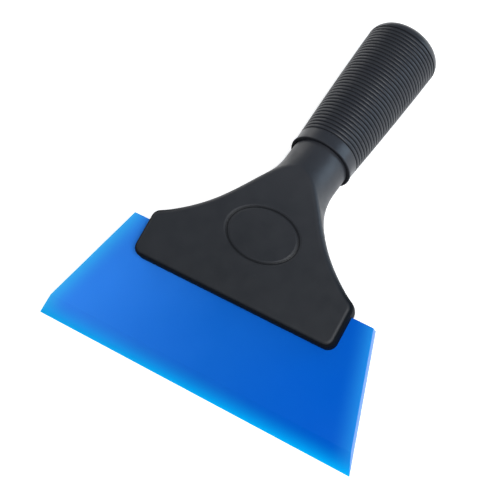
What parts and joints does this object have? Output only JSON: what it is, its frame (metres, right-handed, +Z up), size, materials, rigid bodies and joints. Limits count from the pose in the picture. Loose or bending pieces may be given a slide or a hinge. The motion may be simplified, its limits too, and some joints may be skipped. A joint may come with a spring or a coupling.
{
  "type": "windshield ice scraper",
  "caption": "Hand ice scraper: flared translucent blue blade with one bevelled edge, clamped in a black moulded head with a round bent neck and a ribbed rubber grip.",
  "frame": {"origin": "on the table, under the middle of the outer box, with the scraper lying on its blade's sharp edge and on the grip's far end", "axes": "+Z up, +X along the blade's sharp edge, +Y from the blade to the grip's far end; the head's front face looks up and towards the blade side"},
  "size_m": [0.15, 0.1834, 0.0371],
  "materials": {
    "black_moulding": "satin moulded black",
    "blue_blade": "smooth translucent blue polyurethane",
    "grip_rubber": "soft matt black, ring grooves",
    "screw_steel": "zinc plated"
  },
  "bodies": {
    "root": {"handle_body": "black_moulding", "clamp_cover": "black_moulding", "scraper_blade": "blue_blade", "grip_sleeve": "grip_rubber", "screw_left": "screw_steel", "screw_middle": "screw_steel", "screw_right": "screw_steel", "screw_top": "screw_steel"}
  },
  "joints": []
}
